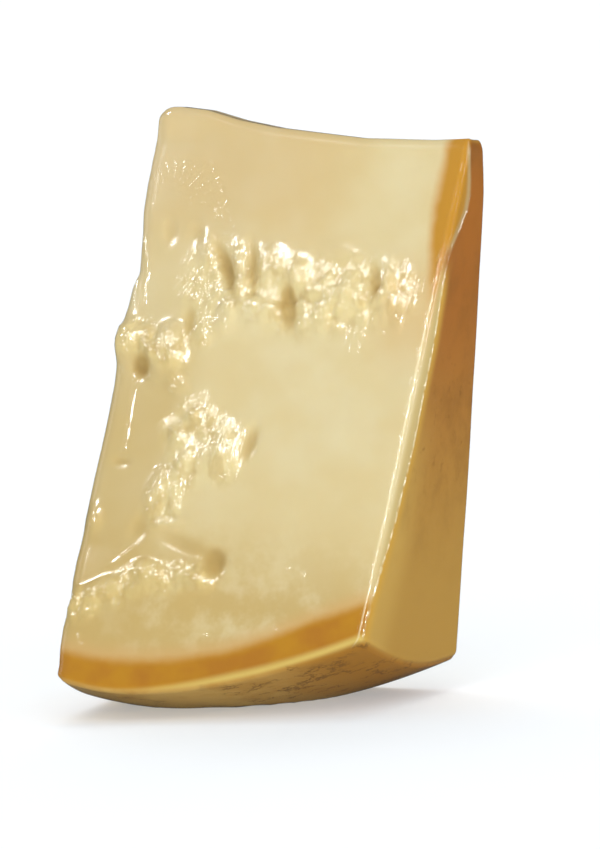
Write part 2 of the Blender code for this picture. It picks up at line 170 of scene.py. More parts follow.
# Finer crumbs than the solid has, in centimetres and millimetres
CRUMB_GRAIN = 0.33
CRUMB_HEIGHT = 0.6

# Fineness of the two surfaces: along the axis, along the radius and through the thickness
STEPS = (134, 248, 32)
CROWDING = (0.45, 0.45, 0.80)

# The film lies this far off the paste, and bridges what is narrower than its relaxing reaches
FILM_GAP = 0.00012
FILM_RELAX_ROUNDS = 8
FILM_RELAX_SHARE = 0.5
# The film's gloss fades out over a hollow that is this deep, in millimetres
BRIDGED = (0.12, 0.55)
FILM_ROUGHNESS = 0.19
FILM_IOR = 1.5
# The paste's foot stays this far above the floor, so that the film's foot is clear of it
FOOT_LIFT = 0.0002

# Small bumps in the materials, in metres
PASTE_BUMP = 0.0005
FILM_BUMP = 0.0012
# The fine mottling of the paste: its scale, detail and roughness
MOTTLING = (95.0, 4.0, 0.62)

# The camera, seen from the right and a little from above through a long lens. Its target is given
# for the chunk that has been stood up but not yet moved to its place.
TARGET = Vector((-0.0190018, -0.0081909, -0.1240634))
CAMERA_AZIMUTH = 24.76
CAMERA_ELEVATION = 5.0
CAMERA_ROLL = -3.36
CAMERA_DISTANCE = 3.30
PIXELS_PER_METRE = 3159.6
PHOTO_HEIGHT = 849
SENSOR_HEIGHT = 36.0

# Lights. Each box of light has the direction where it stands (the camera's right, up and backward),
# its distance, width, height and power. The softboxes light without being mirrored, and the glints
# are only mirrored, in the film.
SOFTBOXES = {
    "fill": ((0.30, 0.42, 0.86), 1.6, 0.9, 1.0, 10.6),
    "left fill": ((-0.70, 0.25, 0.67), 1.6, 0.9, 1.0, 1.8),
}
GLINTS = {
    "top glint": ((-0.22, 0.85, 0.48), 1.2, 0.40, 0.20, 19.0),
    "right glint": ((0.40, 0.37, 0.84), 1.3, 0.22, 0.95, 76.0),
    "side glint": ((0.93, 0.28, 0.24), 1.3, 0.30, 0.60, 8.0),
    "upper left glint": ((-0.78, 0.63, 0.08), 1.2, 0.25, 0.25, 11.0),
    "left glow": ((-0.95, 0.10, -0.30), 1.2, 0.40, 0.90, 1.3),
}
# Wide soft suns on the chunk: the direction, the strength and the angle in degrees
SKY_LIGHTS = {
    "sky": ((-0.12, 0.83, -0.55), 0.8, 45.0),
    "from below": ((0.10, -0.97, 0.24), 0.55, 60.0),
}
# Wide soft lights on the floor alone, for the soft shadow that hugs the chunk and spreads before it
FLOOR_LIGHTS = {
    "floor back": ((-0.03, 0.66, -0.75), 1.6, 52.0),
    "floor front": ((0.0, 0.35, 0.94), 1.6, 60.0),
    "floor dome": ((-0.05, 0.99, 0.09), 0.5, 150.0),
}
SUN_DISTANCE = 3.0
WORLD_LIGHT = 0.55
FLOOR_HALF = 16.0
FLOOR_WHITE = 0.62
FLOOR_GLOW = 0.30
FLOOR_GLOW_TINT = (0.88, 1.0, 1.10, 1.0)
# Glossy surfaces mirror the world and the floor with this share of their light
GLOSSY_SHARE = 0.08

# Short creases of the film on the front, as (x, rho) to (x, rho) in centimetres with a strength
UPPER_CREASES = [
    (2.36, 7.16, 2.22, 7.67, 0.9), (3.43, 8.02, 3.54, 8.74, 1.2), (3.72, 8.84, 4.02, 9.59, 0.9),
    (4.18, 7.74, 4.24, 8.16, 0.9), (5.29, 7.67, 5.40, 8.42, 1.1), (5.60, 7.95, 5.66, 8.18, 0.8),
    (6.36, 8.10, 6.43, 8.40, 0.9), (7.10, 8.12, 7.31, 9.01, 1.2), (7.43, 8.14, 7.54, 8.62, 1.1),
    (7.94, 8.24, 7.99, 8.52, 0.8), (8.37, 7.36, 8.72, 8.53, 1.0), (6.34, 9.13, 6.42, 9.48, 1.0),
    (6.99, 9.02, 6.70, 9.45, 0.8), (5.80, 8.89, 6.07, 9.71, 1.1), (5.27, 9.26, 5.38, 9.79, 0.6),
    (4.77, 9.05, 4.26, 9.78, 0.9), (3.13, 9.09, 3.38, 10.10, 0.9), (2.55, 10.08, 3.01, 9.84, 0.8),
    (2.72, 10.24, 2.80, 10.72, 0.9), (7.50, 9.59, 7.42, 10.09, 0.9), (8.03, 9.53, 7.88, 10.28, 0.9),
    (8.55, 9.40, 8.73, 9.62, 0.6), (2.58, 9.10, 2.65, 9.27, 0.6), (2.77, 8.83, 2.82, 9.01, 0.6),
    (2.27, 6.25, 2.35, 6.61, 0.4), (0.04, 7.26, 0.61, 9.58, 0.8), (-0.13, 8.08, 0.20, 9.63, 0.6),
]
LOWER_CREASES = [
    (0.20, 10.50, 0.32, 10.80, 0.8), (0.45, 11.08, 0.50, 11.30, 0.7), (1.62, 10.20, 1.82, 10.45, 0.8),
    (1.40, 10.95, 1.55, 11.35, 0.9), (1.75, 10.90, 1.95, 11.30, 0.9), (2.26, 11.80, 2.32, 12.00, 0.7),
    (2.04, 12.10, 2.10, 12.30, 0.6), (0.30, 11.70, 0.34, 11.90, 0.5), (0.75, 12.01, 0.87, 14.36, 0.7),
    (3.23, 12.06, 2.96, 12.72, 0.5), (2.88, 12.99, 3.16, 12.96, 0.9), (2.45, 13.40, 2.67, 13.91, 0.9),
    (3.03, 14.04, 2.82, 14.96, 1.0), (3.51, 14.07, 3.47, 14.52, 0.9), (3.32, 13.47, 3.76, 13.33, 0.8),
    (4.08, 13.47, 4.55, 13.49, 0.9), (4.37, 14.32, 4.49, 14.74, 0.8), (2.02, 14.79, 2.64, 14.63, 0.6),
    (1.91, 15.52, 2.32, 16.09, 0.7), (2.48, 15.36, 2.30, 16.00, 0.9), (2.57, 16.54, 3.02, 16.44, 0.9),
    (1.99, 17.29, 1.35, 17.99, 0.5), (2.13, 18.29, 2.69, 18.08, 0.9), (2.95, 17.96, 3.24, 18.01, 0.9),
    (0.70, 19.65, 1.15, 19.35, 0.6), (0.28, 19.10, 0.36, 19.55, 0.7), (0.62, 20.35, 0.80, 20.70, 0.7),
    (3.72, 18.03, 4.37, 17.99, 1.2), (0.50, 19.26, 0.95, 18.98, 0.4), (1.35, 18.74, 2.00, 18.35, 0.4),
    (0.33, 16.50, 0.38, 16.72, 0.8),
    (7.70, 17.40, 7.78, 17.58, 0.8), (7.20, 17.34, 7.23, 17.46, 0.6), (4.90, 19.76, 4.93, 19.92, 0.6),
    (7.19, 19.26, 7.23, 19.42, 0.6), (1.22, 20.00, 1.30, 20.14, 0.6),
]
# The fan of fine short creases near the tip: its middle, how much narrower than high it is, where the
# creases start and end from the middle, how far they bend, and their height. Lengths are in
# centimetres, and FAN_ALL_ROUND is how many creases there would be all round.
FAN_MIDDLE = (0.95, 6.2)
FAN_SQUEEZE = 0.85
FAN_STARTS = (0.62, 0.78)
FAN_ENDS = (1.45, 1.20)
FAN_ALL_ROUND = 24.0
FAN_BEND = 5.0
FAN_HEIGHT = 0.34
# The long crease across the upper part, fine and straight
LONG_CREASE = (1.85, 4.70, 2.95, 6.80, 0.10)
CREASE_WIDTH = 0.12
# How a crease fades past its ends, in centimetres, and to its sides, in widths
CREASE_END_FADE = (-0.06, 0.10)
CREASE_SIDE_FADE = (1.3, 2.2)
# A crease that runs across is lower by this share than one that runs up and down
CREASE_UPRIGHT_SHARE = 0.45
CREASE_HEIGHT = 0.54
# Creases on the strip are higher by this factor
STRIP_CREASE_SHARE = 1.35
STRIP_CREASE_MARGIN = 0.2
WRINKLE_SHARE = 1.2
# How strongly the film creases along the two lines of the rounded edge
EDGE_LINES = {"edge_inner": 0.6, "edge_outer": 0.55}

# The rounded front edge of the rind: the film's inner line, and its outer line as (rho, depth); the
# pale paste shows between them, all in centimetres. Painted highlights in the paste's colour follow both
# lines.
EDGE_INNER = -0.18
EDGE_OUTER = [
    (3.0, 0.0), (3.6, 0.32), (4.2, 0.64), (4.7, 0.82), (5.2, 0.86), (5.6, 0.74), (6.0, 0.56), (6.4, 0.40),
    (7.2, 0.24), (9.5, 0.50), (13.0, 0.60), (15.5, 0.45), (18.0, 0.10), (20.0, 0.0),
]
# Below this radius, and no further than this beside the inner line, the film's gloss is nearly off
LOOSE_EDGE = (6.0, 7.2)
LOOSE_BESIDE = (0.1, 0.5)
LOOSE_SHARE = 0.95
FILM_MARKS = ("along_axis", "radius", "rough", "front", "edge_inner", "edge_outer")
FAR_AWAY = 9.0

# Colours of the paste, of its rim, of the rounded front edge, of the flat rind and of the wall
PASTE = (0.760, 0.625, 0.325)
# Deep paste is the paste's own tone, and also painted shade on the left strip
PASTE_DEEP_AND_SHADE = (0.600, 0.425, 0.150)
PASTE_WARM = (0.660, 0.430, 0.180)
PASTE_PALE = (0.800, 0.700, 0.420)
PASTE_YELLOW = (0.780, 0.640, 0.280)
# Ochre is a random tone on the crags, and also painted shade in the hollows
OCHRE_AND_SHADE = (0.480, 0.310, 0.090)
RIM_ORANGE = (0.540, 0.255, 0.018)
RIM_DEEP = (0.450, 0.175, 0.020)
RIM_PINK = (0.680, 0.430, 0.165)
# A painted highlight colour for the foot of the break, where the edge catches the light
RIM_YELLOW_HIGHLIGHT = (0.680, 0.490, 0.130)
CHAMFER_PALE = (0.610, 0.460, 0.185)
CHAMFER_GOLD = (0.640, 0.360, 0.050)
CHAMFER_GREY = (0.520, 0.350, 0.140)
# A painted highlight colour, laid along both lines of the rounded edge where the film glints
EDGE_HIGHLIGHT_PAINT = (0.900, 0.820, 0.500)
RIND_TOP = (0.400, 0.135, 0.012)
RIND_LOW = (0.510, 0.285, 0.046)
RIND_DARK = (0.230, 0.095, 0.008)
RIND_GOLD = (0.600, 0.360, 0.070)
WALL_BROWN = (0.630, 0.390, 0.100)
WALL_RIGHT = (0.430, 0.190, 0.018)
WALL_DARK = (0.150, 0.065, 0.015)

WHITE = (1.0, 1.0, 1.0, 1.0)
BLACK = (0.0, 0.0, 0.0, 1.0)

CENTIMETRE = 0.01
MILLIMETRE = 0.001


def smooth_step(low, high, value):
    t = np.clip((value - low) / (high - low), 0.0, 1.0)
    return t * t * (3.0 - 2.0 * t)


def scatter(i, j, salt):
    """A fixed number from 0 to 1 for each cell (i, j)."""
    mixed = np.sin(i * 127.1 + j * 311.7 + salt * 74.7) * 43758.5453
    return mixed - np.floor(mixed)


def grains(x, y, size, salt):
    """Crags of about one size: 1 on their tops and 0 in the cracks between them."""
    gx = x / size
    gy = y / size
    cell_x = np.floor(gx)
    cell_y = np.floor(gy)
    nearest = np.full(gx.shape, 9.0)
    second = np.full(gx.shape, 9.0)
    for step_x in (-1, 0, 1):
        for step_y in (-1, 0, 1):
            i = cell_x + step_x
            j = cell_y + step_y
            seed_x = i + 0.15 + 0.7 * scatter(i, j, salt)
            seed_y = j + 0.15 + 0.7 * scatter(i, j, salt + 5.0)
            gap = np.hypot(gx - seed_x, gy - seed_y)
            second = np.minimum(second, np.maximum(nearest, gap))
            nearest = np.minimum(nearest, gap)
    return smooth_step(0.0, 0.55, second - nearest) * (1.0 - 0.35 * nearest)


def facets(x, y, size, salt):
    """Broken lumps of about one size: facets at random heights and tilts, softly joined."""
    gx = x / size
    gy = y / size
    cell_x = np.floor(gx)
    cell_y = np.floor(gy)
    total = np.zeros(gx.shape)
    weights = np.zeros(gx.shape)
    for step_x in (-1, 0, 1):
        for step_y in (-1, 0, 1):
            i = cell_x + step_x
            j = cell_y + step_y
            off_x = gx - (i + 0.15 + 0.7 * scatter(i, j, salt))
            off_y = gy - (j + 0.15 + 0.7 * scatter(i, j, salt + 5.0))
            weight = np.exp(-FACET_SHARPNESS * (off_x ** 2 + off_y ** 2))
            level = scatter(i, j, salt + 11.0)
            level += FACET_TILT * (scatter(i, j, salt + 17.0) - 0.5) * off_x
            level += FACET_TILT * (scatter(i, j, salt + 23.0) - 0.5) * off_y
            total += weight * level
            weights += weight
    return total / weights


def waves(x, y, length, salt):
    """Slow unevenness between about -1 and 1, about one length from crest to crest."""
    total = np.zeros_like(x)
    for finer, share in ((1.0, 0.7), (2.3, 0.3)):
        gx = (x + 0.35 * y) / length * finer + 11.3
        gy = (y - 0.35 * x) / length * finer + 7.7
        i = np.floor(gx)
        j = np.floor(gy)
        fx = smooth_step(0.0, 1.0, gx - i)
        fy = smooth_step(0.0, 1.0, gy - j)
        near = scatter(i, j, salt) * (1.0 - fx) + scatter(i + 1.0, j, salt) * fx
        far = scatter(i, j + 1.0, salt) * (1.0 - fx) + scatter(i + 1.0, j + 1.0, salt) * fx
        total += share * (2.0 * (near * (1.0 - fy) + far * fy) - 1.0)
    return total


def along_line(place, line):
    """The second number of a line of number pairs, at a place given in their first number."""
    return np.interp(place, [pair[0] for pair in line], [pair[1] for pair in line])


def line_distance(x, y, line):
    """The distance from each (x, y) to a line of points, in the line's own units."""
    best = np.full(np.shape(x), 99.0)
    for (x0, y0), (x1, y1) in zip(line[:-1], line[1:]):
        dx = x1 - x0
        dy = y1 - y0
        t = np.clip(((x - x0) * dx + (y - y0) * dy) / (dx * dx + dy * dy), 0.0, 1.0)
        best = np.minimum(best, np.hypot(x - x0 - t * dx, y - y0 - t * dy))
    return best


def in_band(x, rho, line, half_width, salt):
    """1 in the middle of a band and 0 outside its ragged border."""
    ragged = line_distance(x, rho, line) + 0.18 * waves(x, rho, 1.9, salt) + 0.12 * waves(x, rho, 0.7, salt)
    return 1.0 - smooth_step(0.35 * half_width, CRAG_REACH * half_width, ragged)


def rough_share(x, rho, bands, salt):
    """How much a place belongs to the crags, from 0 to 1."""
    shares = [in_band(x, rho, line, half_width, salt) for line, half_width, _ in bands.values()]
    return np.max(shares, axis=0)


def crags(x, rho, bands, salt):
    """How far the crags of all bands stand out, in metres; x and rho are in centimetres."""
    height = np.zeros_like(x)
    bent_x = x + CRAG_BEND * waves(x, rho, 1.7, salt + 3.0)
    bent_rho = rho + CRAG_BEND * waves(x, rho, 1.7, salt + 9.0)
    shape = 0.45 * facets(bent_x, bent_rho, CRAG_GRAIN, salt)
    shape += 0.30 * facets(bent_x, bent_rho, CRAG_GRAIN * CRAG_FINER, salt + 2.0)
    shape += 0.25 * grains(bent_x, bent_rho, CRAG_GRAIN * CRAG_FINER, salt + 6.0)
    shape = np.clip((shape - 0.25) / 0.50, 0.0, 1.2)
    patchy = smooth_step(-0.45, 0.35, waves(x, rho, 1.5, salt + 13.0))
    crumbs = facets(1.3 * bent_x, bent_rho, CRUMB_GRAIN, salt + 4.0) - 0.5
    crumbs *= CRUMB_HEIGHT * MILLIMETRE * (0.25 + 0.75 * patchy)
    taken = np.zeros_like(x)
    for line, half_width, tall in bands.values():
        inside = in_band(x, rho, line, half_width, salt)
        lumps = (shape - CRAG_SINK) * tall * MILLIMETRE * (0.45 + 0.55 * patchy)
        height += inside * np.maximum(1.0 - taken, 0.0) * (lumps + crumbs)
        taken += inside
    return height


def round_rises(x, rho, places):
    """Single lumps with blunt tops at the given places, in metres."""
    height = np.zeros_like(x)
    for place_x, place_rho, half_x, half_rho, turn, tall in places.values():
        c = math.cos(math.radians(turn))
        s = math.sin(math.radians(turn))
        along = ((x - place_x) * c + (rho - place_rho) * s) / half_x
        across = ((rho - place_rho) * c - (x - place_x) * s) / half_rho
        height += tall * MILLIMETRE * np.exp(-(along ** 2 + across ** 2) ** LUMP_BLUNTNESS)
    return height


def strip_fall(x, rho):
    """How far the left strip of the front break falls back, in metres."""
    past = along_line(rho, STRIP_LINE) - x
    return STRIP_SLOPE * CENTIMETRE * (np.sqrt(past ** 2 + 0.09) + past) / 2.0


def front_relief(x, rho):
    """The front break stands out this far from its flat cut, in metres."""
    x_cm = x / CENTIMETRE
    rho_cm = rho / CENTIMETRE
    slow = BREAK_WAVE * 0.6 * waves(x, rho, BREAK_WAVE_LENGTH, 0.0)
    single = round_rises(x_cm, rho_cm, LUMPS) - round_rises(x_cm, rho_cm, HOLLOWS)
    return crags(x_cm, rho_cm, CRAG_BANDS, 1.0) + single - strip_fall(x_cm, rho_cm) + slow


def back_relief(x, rho):
    slow = BREAK_WAVE * waves(x, rho, BREAK_WAVE_LENGTH, 2.0)
    return crags(x / CENTIMETRE, rho / CENTIMETRE, BACK_BANDS, 7.0) + slow


def left_relief(depth, rho):
    slow = BREAK_WAVE * waves(depth, rho, BREAK_WAVE_LENGTH, 4.0)
    return crags(depth / CENTIMETRE, rho / CENTIMETRE, LEFT_BANDS, 12.0) + slow


def wall_radius(x):
    """The wheel's side wall: highest at the crest, falling towards the flat rind."""
    to_right = np.clip((x - WALL_CREST_X) / (WIDTH - WALL_CREST_X), 0.0, 1.0)
    to_left = np.clip((WALL_CREST_X - x) / WALL_CREST_X, 0.0, 1.0)
    return WHEEL_RADIUS - WALL_BULGE * to_right ** WALL_POWER - WALL_LEFT_DROP * to_left ** 2


def tip_radius(x):
    """The cut tip, which sags a little between its two ends."""
    return CENTIMETRE * along_line(x / CENTIMETRE, TIP_LINE)


def left_face_x(rho):
    """The left face leans out near the tip and where crags run out over its edge."""
    return CENTIMETRE * along_line(rho / CENTIMETRE, LEFT_EDGE)


def crowded(count, share):
    """Fractions from 0 to 1 that lie closer together near both ends."""
    even = np.linspace(0.0, 1.0, count + 1)
    return even - share * np.sin(2.0 * math.pi * even) / (2.0 * math.pi)


def box_shell(steps):
    """The points and faces of a box's surface, as whole-number places on a grid."""
    found = {}
    places = []
    faces = []

    def corner(place):
        if place not in found:
            found[place] = len(places)
            places.append(place)
        return found[place]

    for axis in range(3):
        second = (axis + 1) % 3
        third = (axis + 2) % 3
        for level in (0, steps[axis]):
            for i in range(steps[second]):
                for j in range(steps[third]):
                    ring = []
                    for di, dj in ((0, 0), (1, 0), (1, 1), (0, 1)):
                        place = [0, 0, 0]
                        place[axis] = level
                        place[second] = i + di
                        place[third] = j + dj
                        ring.append(corner(tuple(place)))
                    faces.append(ring if level else ring[::-1])
    return np.array(places), faces


def rounded(fraction, length, near, far):
    """Splits a place along one side into its inner place, its share of the rounding and the radius."""
    real = fraction * length
    inner = np.clip(real, near, length - far)
    radius = np.where(real < length / 2.0, near, far)
    return inner, (real - inner) / radius, radius


def chunk_points(places, steps):
    """Every point of the surface in the wheel's frame, and where it lies on the chunk."""
    u, v, w = (crowded(steps[side], CROWDING[side])[places[:, side]] for side in range(3))
    rho_guess = TIP_RADIUS + v * (wall_radius(u * WIDTH) - TIP_RADIUS)
    thickness = rho_guess * math.radians(WEDGE_ANGLE)
    reach = wall_radius(u * WIDTH) - tip_radius(u * WIDTH)
    widened = smooth_step(0.75, 0.95, u) * smooth_step(*FRONT_RIGHT_STARTS, rho_guess)
    front = ROUND_THICKNESS[0] + (ROUND_FRONT_RIGHT - ROUND_THICKNESS[0]) * widened
    front = np.minimum(front, 0.4 * thickness)
    inner_x, edge_x, round_x = rounded(u, WIDTH, *ROUND_AXIS)
    inner_r, edge_r, round_r = rounded(v, reach, *ROUND_RADIUS)
    inner_w, edge_w, round_w = rounded(w, thickness, front, ROUND_THICKNESS[1])
    size = np.maximum(np.sqrt(edge_x ** 2 + edge_r ** 2 + edge_w ** 2), 1e-9)
    x = inner_x + round_x * edge_x / size
    rho = tip_radius(u * WIDTH) + inner_r + round_r * edge_r / size
    through = (inner_w + round_w * edge_w / size) / thickness

    depth = through * rho * math.radians(WEDGE_ANGLE)
    near_left = 1.0 - smooth_step(0.0, 0.35, u)
    near_front = 1.0 - smooth_step(0.0, 0.5, through)
    near_back = smooth_step(0.5, 1.0, through)
    away_from_heel = smooth_step(0.0, 0.010, wall_radius(x) - rho)
    away_from_tip = 0.3 + 0.7 * smooth_step(0.0, 0.012, rho - tip_radius(x))
    away_from_flat_rind = smooth_step(0.0, 0.012, WIDTH - x)
    broken = away_from_heel * away_from_tip

    out_front = front_relief(x, rho) * near_front * broken * away_from_flat_rind
    out_back = back_relief(x, rho) * near_back * broken * away_from_flat_rind
    out_left = left_relief(depth, rho) * (1.0 - smooth_step(0.0, 0.2, u)) * broken
    rind = RIND_WAVE * waves(depth, rho, RIND_WAVE_LENGTH, 6.0) * smooth_step(0.9, 1.0, u)
    bulge = RIND_BULGE * smooth_step(0.0, 0.12, v) * (1.0 - v) ** 0.35 * smooth_step(0.2, 1.0, through)
    rind += bulge * smooth_step(0.6, 1.0, u)
    wall = RIND_WAVE * waves(x, depth, RIND_WAVE_LENGTH, 8.0) * smooth_step(0.9, 1.0, v)
    drop = WALL_BACK_DROP * smooth_step(0.1, 0.85, u) * smooth_step(0.0, 0.7, through)
    wall += drop * smooth_step(0.7, 1.0, v)

    round_edge = (depth - (WIDTH - x)) / CENTIMETRE
    marks = {
        "below_wall": (wall_radius(x) - rho) / CENTIMETRE,
        "below_flat": (WIDTH - x) / CENTIMETRE,
        "along_axis": x / CENTIMETRE,
        "radius": rho / CENTIMETRE,
        "depth": depth / CENTIMETRE,
        "wall_side": smooth_step(0.35, 0.9, edge_r / size),
        "flat_side": smooth_step(0.35, 0.9, edge_x / size),
        "front": near_front ** 2,
        "hollow": round_rises(x / CENTIMETRE, rho / CENTIMETRE, HOLLOWS) / MILLIMETRE * near_front,
        "edge_inner": round_edge - EDGE_INNER,
        "edge_outer": round_edge - along_line(rho / CENTIMETRE, EDGE_OUTER),
        "rough": rough_share(x / CENTIMETRE, rho / CENTIMETRE, CRAG_BANDS, 1.0) * near_front,
    }
    turn = math.radians(WEDGE_ANGLE) * (through - 0.5)
    turn += math.radians(BACK_EXTRA_ANGLE) * (1.0 - u) * through ** 2
    turn += (out_back - out_front) / rho
    slant = math.tan(math.radians(LEFT_FACE_SLANT)) * depth
    x = x + (left_face_x(rho) - slant - out_left) * near_left + rind
    rho = rho + wall
    phi = turn - math.radians(LEAN_BACK)
    return np.stack([x - WIDTH / 2.0, rho * np.sin(phi), -rho * np.cos(phi)], axis=1), marks


def stand_up(points):
    """Turns the points over towards the flat rind, about the axis that runs front to back."""
    c = math.cos(math.radians(LEAN_RIGHT))
    s = math.sin(math.radians(LEAN_RIGHT))
    x = points[:, 0] * c + points[:, 2] * s
    z = points[:, 2] * c - points[:, 0] * s
    return np.stack([x, points[:, 1], z], axis=1)


def way_to_place(points):
    """The move that puts the standing chunk where the solid is, with its foot on the floor."""
    low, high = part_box(NODE)
    lowest = points.min(axis=0)
    highest = points.max(axis=0)
    move_x, move_y = ((low[axis] + high[axis] - lowest[axis] - highest[axis]) / 2.0 for axis in (0, 1))
    return np.array([move_x, move_y, low[2] - lowest[2] - REST_FLAT_DEPTH])


def new_mesh_object(name, points, faces, marks):
    mesh = bpy.data.meshes.new(name)
    mesh.from_pydata(points.tolist(), [], faces)
    for key, values in marks.items():
        layer = mesh.attributes.new(key, "FLOAT", "POINT")
        layer.data.foreach_set("value", values.astype(np.float32))
    mesh.update()
    mesh.shade_smooth()
    obj = bpy.data.objects.new(name, mesh)
    bpy.context.scene.collection.objects.link(obj)
    return obj


def flatten_foot(points, lift):
    """Presses what would lie below the floor up to just above it."""
    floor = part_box(NODE)[0][2] + lift
    pressed = points.copy()
    pressed[:, 2] = np.maximum(points[:, 2], floor)
    return pressed


def crease_marks(x, rho):
    """For the nearest crease: how far it lies to one side, in centimetres, and how strong it is there."""
    off = np.full(x.shape, FAR_AWAY)
    share = np.zeros(x.shape)
    best = np.full(x.shape, FAR_AWAY)
    for x0, rho0, x1, rho1, strength in UPPER_CREASES + LOWER_CREASES + [LONG_CREASE]:
        length = math.hypot(x1 - x0, rho1 - rho0)
        dx = (x1 - x0) / length
        dy = (rho1 - rho0) / length
        along = (x - x0) * dx + (rho - rho0) * dy
        side = (rho - rho0) * dx - (x - x0) * dy
        gap = np.hypot(side, np.maximum(np.maximum(-along, along - length), 0.0))
        fade = smooth_step(*CREASE_END_FADE, along) * smooth_step(*CREASE_END_FADE, length - along)
        fade *= 1.0 - smooth_step(*CREASE_SIDE_FADE, np.abs(side) / CREASE_WIDTH)
        strength *= 1.0 - CREASE_UPRIGHT_SHARE + CREASE_UPRIGHT_SHARE * abs(dy)
        on_strip = x0 < along_line(rho0, STRIP_LINE) - STRIP_CREASE_MARGIN
        strength *= STRIP_CREASE_SHARE if on_strip else 1.0
        nearer = gap < best
        off = np.where(nearer, side, off)
        share = np.where(nearer, strength * fade, share)
        best = np.where(nearer, gap, best)
    return off, share


def point_normals(points, faces):
    """Outward normals at the points of a mesh of four-sided faces."""
    corners = points[faces]
    across = np.cross(corners[:, 2] - corners[:, 0], corners[:, 3] - corners[:, 1])
    normals = np.zeros_like(points)
    for corner in range(4):
        np.add.at(normals, faces[:, corner], across)
    return normals / np.maximum(np.linalg.norm(normals, axis=1, keepdims=True), 1e-12)


def draw_film_tight(points, faces):
    """Relaxes a skin like a stretched film, which the surface under it holds out."""
    normals = point_normals(points, faces)
    edges = np.concatenate([faces[:, [0, 1]], faces[:, [1, 2]], faces[:, [2, 3]], faces[:, [3, 0]]])
    count = np.bincount(edges.ravel(), minlength=len(points)).astype(float)
    lifted = np.full(len(points), FILM_GAP)
    for _ in range(FILM_RELAX_ROUNDS):
        skin = points + normals * lifted[:, None]
        total = np.zeros_like(points)
        for axis in range(3):
            total[:, axis] = np.bincount(edges[:, 0], skin[edges[:, 1], axis], len(points))
            total[:, axis] += np.bincount(edges[:, 1], skin[edges[:, 0], axis], len(points))
        pull = ((total / count[:, None] - skin) * normals).sum(axis=1)
        lifted = np.maximum(FILM_GAP, lifted + FILM_RELAX_SHARE * pull)
    return points + normals * lifted[:, None]


def film_marks_from(marks):
    """What the film's material reads: the creases, and where the film is tight enough to shine."""
    off, share = crease_marks(marks["along_axis"], marks["radius"])
    beside_edge = 1.0 - smooth_step(*LOOSE_BESIDE, np.abs(marks["edge_inner"]))
    loose = LOOSE_SHARE * beside_edge * (1.0 - smooth_step(*LOOSE_EDGE, marks["radius"]))
    found = {key: marks[key] for key in FILM_MARKS}
    found["not_wall"] = 1.0 - marks["wall_side"]
    found["tight"] = (1.0 - smooth_step(*BRIDGED, marks["hollow"])) * (1.0 - loose)
    found["crease_side"] = off
    found["crease_share"] = share * marks["front"]
    return found


def make_pieces():
    places, faces = box_shell(STEPS)
    points, marks = chunk_points(places, STEPS)
    points = stand_up(points)
    move = way_to_place(points)
    points = points + move
    film_points = flatten_foot(draw_film_tight(points, np.array(faces)), 0.0)
    cheese_piece = new_mesh_object("cheese", flatten_foot(points, FOOT_LIFT), faces, marks)
    cheese_piece.data.materials.append(cheese_material())
    film_piece = new_mesh_object("film", film_points, faces, film_marks_from(marks))
    film_piece.data.materials.append(film_material())
    return cheese_piece, film_piece, Vector(move)


